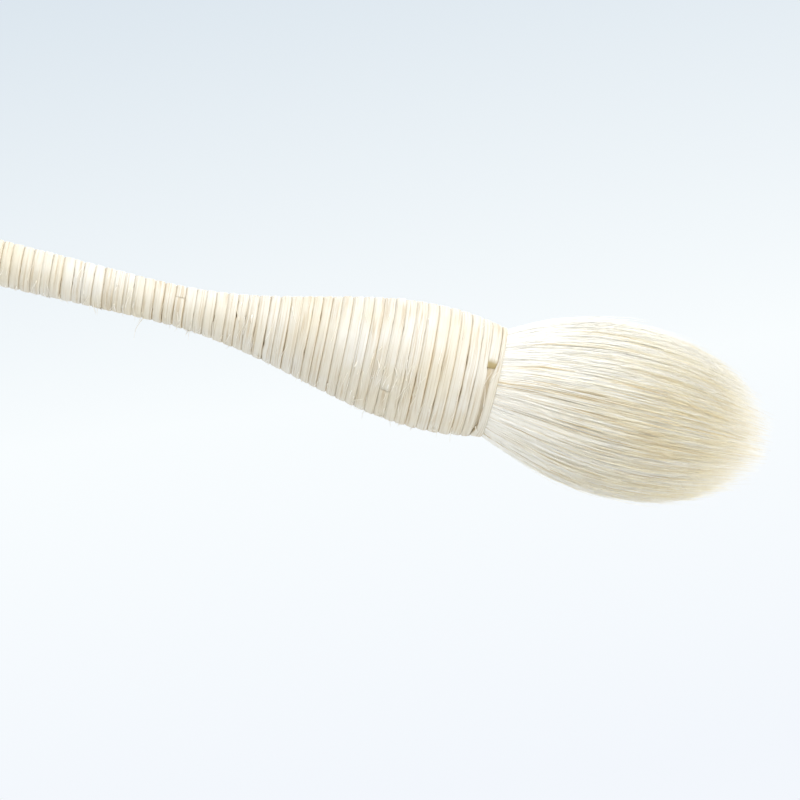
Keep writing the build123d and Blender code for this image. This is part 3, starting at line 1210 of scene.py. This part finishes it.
    def _paths(self, count: int) -> tuple[np.ndarray, np.ndarray, np.ndarray]:
        """Centre lines of hairs.

        A hair keeps its own layer, a share of the outline's radius, and its own angle, both
        drawn a little towards its lock's as it runs out, with a slow wave of its own. It ends
        where its layer meets the dome, give or take a chance length.

        Args:
            count: how many hairs.

        Returns:
            Points (count x points x 3), radii (count x points) and tones (count x points).
        """
        rng = self.rng
        layer = self._layers(count)
        turn = np.radians(rng.uniform(0.0, 360.0, count))
        here_x, here_y = layer * np.cos(turn), layer * np.sin(turn)
        lock_x, lock_y = self.lock_places
        apart = (here_x[:, None] - lock_x) ** 2 + (here_y[:, None] - lock_y) ** 2
        own = apart.argmin(1)
        stands, lock_tone = self.lock_marks[:, own]
        step = np.linspace(0.0, 1.0, self.segments + 1)[None, :]
        start = -3.0 * MM
        s = start + (self._ends(layer)[:, None] - start) * step
        draw = self.draw * np.clip(s / self.length, 0, 1) ** 1.2
        wave = rng.uniform(0, 2 * np.pi, (count, 1))
        sway = self.sway * np.sin(wave + 5.0 * step) * step ** 0.5
        swing = self.sway * np.cos(1.7 * wave + 4.0 * step) * step ** 0.5
        flat_x = here_x[:, None] * (1 - draw) + lock_x[own][:, None] * draw + sway
        flat_y = here_y[:, None] * (1 - draw) + lock_y[own][:, None] * draw + swing
        stray = rng.random(count) < self.stray_share
        stray = np.where(stray, self.stray_by * rng.random(count) ** 1.5, 0.0)
        grow = 1 + stray[:, None] * step ** 1.5
        grow = grow + stands[:, None] * np.clip(s / (12 * MM), 0, 1)
        radius = self.outline(s)
        points = np.stack([self.form.mouth + s, flat_y * radius * grow,
                           flat_x * radius * grow + self.lift(s)], -1)
        thin = 1 - 0.90 * np.clip((step - 0.55) / 0.45, 0, 1) ** 1.2
        radii = self.thickness * rng.uniform(0.7, 1.25, (count, 1)) * thin
        degrees = np.degrees(np.arctan2(flat_y, flat_x)) % 360.0
        return points, radii, self._tones(s, degrees, here_x, lock_tone)

    def _hair_piece(self, number: int) -> bpy.types.Object:
        """One piece of many hairs, each a thin tube that tapers to its tip.

        Args:
            number: the piece's number.

        Returns:
            The object.
        """
        points, radii, tone = self._paths(self.hairs_per_piece)
        piece = thin_tubes(f"tuft_hair_{number}", points, radii, self.sides, self.rng)
        along = np.clip((points[:, :, 0] - self.form.mouth) / self.length, 0, 1)
        for name, values in (("along", along), ("tone", tone)):
            add_numbers(piece, name, np.repeat(values.ravel(), self.sides))
        return piece

    def build(self) -> None:
        """Makes the mass and every piece of hair, and dresses them."""
        packed, hair = self.mass.material(), self.finish.material()
        for node, profile in (("hair_core", self._core_profile()),
                              ("hair_mantle", self._mantle_profile())):
            hand_over(self._mass_piece(node + "_mass", profile), packed, Slot.HAIR, node)
        for number in range(1, self.pieces + 1):
            hand_over(self._hair_piece(number), hair, Slot.HAIR)

    def _dome(self, s_from: float, s_to: float, radius: float, points: int) -> np.ndarray:
        """A quarter ellipse, as (distance beyond the mouth, radius), from its widest to its tip."""
        turn = np.linspace(0, np.pi / 2, points)
        return np.stack([s_from + (s_to - s_from) * np.sin(turn), radius * np.cos(turn)], -1)

    def _core_profile(self) -> np.ndarray:
        """Outline of the inner bundle, from its root to its tip.

        Returns:
            Points as (distance beyond the mouth, radius).
        """
        widest, tip, radius = self.core
        root = self.root_at - self.form.mouth
        s = np.linspace(0, widest, 12)
        swell = np.stack([s, radius - 5 * MM * (1 - s / widest) ** 2], -1)
        stem = np.array([[root, 0.4 * MM], [root, 3.9 * MM], [root * 0.5, 4 * MM]])
        dome = self._dome(widest, tip, radius, 12)[1:-1]
        return np.concatenate([stem, swell, dome, [[tip, 0.1 * MM]]])

    def _mantle_profile(self) -> np.ndarray:
        """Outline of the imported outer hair: in from its inner tip, then out over its skin.

        Returns:
            Points as (distance beyond the mouth, radius).
        """
        radius, tip = self.radius * self.packed[0], self.length * self.packed[1]
        inner = self._core_profile()[1:] + np.array([0.0, 0.05 * MM])
        root = inner[0, 0]
        inner = np.concatenate([[[root, 4.65 * MM], [root + 5 * MM, 4.65 * MM]], inner[1:]])[::-1]
        s = np.linspace(-5.0 * MM, self.widest, 14)
        skin = np.stack([s, self.outline(s) * self.packed[0]], -1)
        dome = self._dome(self.widest, tip, radius, 14)[1:-1]
        roots = np.array([[root, 7.5 * MM], [root + 5 * MM, 7.5 * MM], [root + 5.1 * MM, 8.1 * MM],
                          [-16 * MM, 8.1 * MM], [-7 * MM, 8.1 * MM]])
        return np.concatenate([inner, roots, skin, dome, [[tip, 0.1 * MM]]])

    def _mass_piece(self, name: str, profile: np.ndarray) -> bpy.types.Object:
        """A profile carried round the axis, with ridges that run along it.

        The radius is multiplied by one plus a sum of sines of the angle whose phases drift along
        the brush, and the free part stands above the axis as the hair does.

        Args:
            name: the piece's name.
            profile: points as (distance beyond the mouth, radius), closed on the axis at both ends.

        Returns:
            The object.
        """
        columns = 180
        s, radius = profile[:, :1], profile[:, 1:]
        degrees = np.arange(columns)[None, :] * 360.0 / columns
        turn = np.radians(degrees)
        ridges = sum(np.sin(k * turn + 0.02 * k * s / MM + self.rng.uniform(0, 6.28)) / k ** 0.5
                     for k in (17, 23, 31, 41, 53, 67))
        points = ring_place(self.form.mouth + s, radius * (1 + 0.008 * ridges * (s > 0)), degrees)
        points[..., 2] += self.lift(s)
        grid = Grid(points)
        piece = grid.piece(name)
        length = running_length(profile)
        share = np.arange(columns + 1) / columns
        row, column = grid.cells()
        fibre = cell_corners(length, share * 2 * np.pi * self.radius, row, column)
        add_map(piece, MapName.FIBRE, np.concatenate([fibre, np.zeros((6 * columns, 2))]))
        bake = cell_corners(0.02 + 0.90 * length / length[-1], share * 0.96 + 0.02, row, column)
        spin = np.tile(np.array([[0.94, 0.02], [0.98, 0.02], [0.96, 0.06]]), (2 * columns, 1))
        add_map(piece, MapName.BAKE, np.concatenate([bake, spin]))
        return piece

# ------------------------------------------------------------------------------ kept pieces
@dataclass
class InnerPieces:
    """The pieces that keep the model's own shape: wood, thread and resin."""

    finishes: dict = field(default_factory=lambda: {
        "shaft": WoodFinish(), "cup": WoodFinish(), "root_resin": ResinFinish(),
        "core_tie": ThreadFinish(), "mantle_tie": ThreadFinish()})

    def build(self) -> None:
        """Gives each kept piece its finish."""
        made: dict = {}
        for node, finish in self.finishes.items():
            if finish not in made:
                made[finish] = finish.material()
            dress(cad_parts[node], made[finish])
            LOG.info("%s keeps its shape, in %s", node, made[finish].name)


# ------------------------------------------------------------------------------ studio
@dataclass
class Studio:
    """Floor, soft lights, pale surroundings and the camera."""

    target: tuple = (0.1224, 0.0, -0.0078)
    distance: float = 0.676
    roll: float = 13.6                  # degrees that the brush slopes down to the right
    yaw: float = 2.3                    # degrees that the tuft's end turns away
    lens: float = 152.0
    floor_drop: float = 0.55
    floor_radius: float = 3.0
    ambient: float = 0.555
    surroundings: tuple = ((0.0, (0.895, 0.93, 0.98)), (0.45, (0.947, 0.985, 1.0)),
                           (1.0, (0.700, 0.780, 0.850)))
    slope: tuple = (-0.38, 0.0, 0.925)  # direction in which the surroundings change
    reach: float = 0.13                 # how far to either side of level they change
    lit: tuple = (0.985, 0.98, 0.965, 1.0)      # colour of the light from all round
    lamps: tuple = (("key", (-0.05, -0.35, 0.75), 1.4, 12.5, (0.985, 1.0, 1.045)),
                    ("front", (0.15, -0.9, 0.15), 0.9, 2.3, (0.97, 0.98, 1.0)),
                    ("back", (0.2, 0.8, 0.5), 0.9, 4.0, (0.97, 0.98, 1.0)),
                    ("right", (0.95, -0.35, 0.25), 0.7, 4.4, (1.0, 0.98, 0.95)))

    def build(self) -> None:
        """Makes everything round the brush."""
        self._camera()
        self._floor()
        self._world()
        for lamp in self.lamps:
            self._light(*lamp)
        bpy.context.scene.view_settings.view_transform = "Standard"
        bpy.context.scene.cycles.diffuse_bounces = 8

    def _camera(self) -> None:
        """Puts the camera level with the brush, rolled and turned a little."""
        yaw, roll = math.radians(self.yaw), math.radians(self.roll)
        ahead = Vector((math.sin(yaw), math.cos(yaw), 0.0))
        level = Vector((math.cos(yaw), -math.sin(yaw), 0.0))
        up = Vector((0.0, 0.0, 1.0))
        right = level * math.cos(roll) + up * math.sin(roll)
        above = up * math.cos(roll) - level * math.sin(roll)
        place = Vector(self.target) - ahead * self.distance
        turn = Matrix((right, above, -ahead)).transposed().to_4x4()
        data = bpy.data.cameras.new("camera")
        data.lens = self.lens
        data.clip_start = 0.01
        data.clip_end = 50.0
        camera = bpy.data.objects.new("camera", data)
        camera.matrix_world = Matrix.Translation(place) @ turn
        bpy.context.scene.collection.objects.link(camera)
        bpy.context.scene.camera = camera

    def _floor(self) -> None:
        """A wide pale disc well below the brush, fading out at its rim."""
        rings = np.array([0.001, 0.3, 0.6, 1.0]) * self.floor_radius
        turn = np.radians(np.arange(0, 360, 6.0))
        points = np.stack([rings[:, None] * np.cos(turn), rings[:, None] * np.sin(turn),
                           np.zeros((len(rings), len(turn)))], -1)
        points += np.array([self.target[0], 0.0, -self.floor_drop])
        faces = Grid(points).quads()[:, ::-1]
        floor = build_mesh("floor", points.reshape(-1, 3), faces, np.zeros((0, 3), int))
        shader = Shader("pale_floor")
        away = shader.node("ShaderNodeVectorMath", {"operation": "LENGTH"},
                           {0: shader.object_place()}, "Value")
        alpha = 1 - shader.ramp(away, 0.35 * self.floor_radius, 0.95 * self.floor_radius)
        dress(floor, shader.finish(Base_Color=(0.93, 0.95, 0.97), Roughness=0.9, Alpha=alpha))

    def _world(self) -> None:
        """Makes the pale surroundings.

        For the eye they are a ramp from grey-blue, above on the left, through near white to a
        faint grey below; a plain paler copy lights the brush.
        """
        world = bpy.data.worlds.new("surroundings")
        bpy.context.scene.world = world
        world.use_nodes = True
        w = NodeWriter(world.node_tree)
        place = w.node("ShaderNodeTexCoord", output="Generated")
        slope = w.node("ShaderNodeVectorMath", {"operation": "DOT_PRODUCT"},
                       {0: place, 1: self.slope}, "Value")
        spread = w.ramp(slope, -self.reach, self.reach)
        sky = w.node("ShaderNodeValToRGB", {"stops": self.surroundings}, {0: spread})
        seen = w.node("ShaderNodeBackground", {}, {"Color": sky})
        lit = w.node("ShaderNodeBackground", {}, {"Color": self.lit, "Strength": self.ambient})
        eye = w.node("ShaderNodeLightPath", output="Is Camera Ray")
        both = w.node("ShaderNodeMixShader", {}, {0: eye, 1: lit, 2: seen})
        w.close("ShaderNodeOutputWorld", both)

    def _light(self, name: str, place: tuple, size: float, power: float, colour: tuple) -> None:
        """A square area light that faces the brush.

        Args:
            name: the light's name.
            place: where it stands.
            size: its side.
            power: watts.
            colour: its colour.
        """
        data = bpy.data.lights.new(name, "AREA")
        data.size = size
        data.energy = power
        data.color = colour
        light = bpy.data.objects.new(name, data)
        light.location = place
        towards = Vector(self.target) - Vector(place)
        light.rotation_euler = towards.to_track_quat("-Z", "Y").to_euler()
        bpy.context.scene.collection.objects.link(light)


def main() -> None:
    """Builds the brush and its studio in order."""
    logging.basicConfig(level=logging.INFO, format="%(name)s %(message)s")
    form = HandleForm(mouth=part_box("mouth_turn")[1].x)
    InnerPieces().build()
    Winding(form).build()
    Frays(form).build()
    Tuft(form, root_at=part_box("root_resin")[1].x).build()
    Studio().build()


if __name__ == "__main__":
    main()
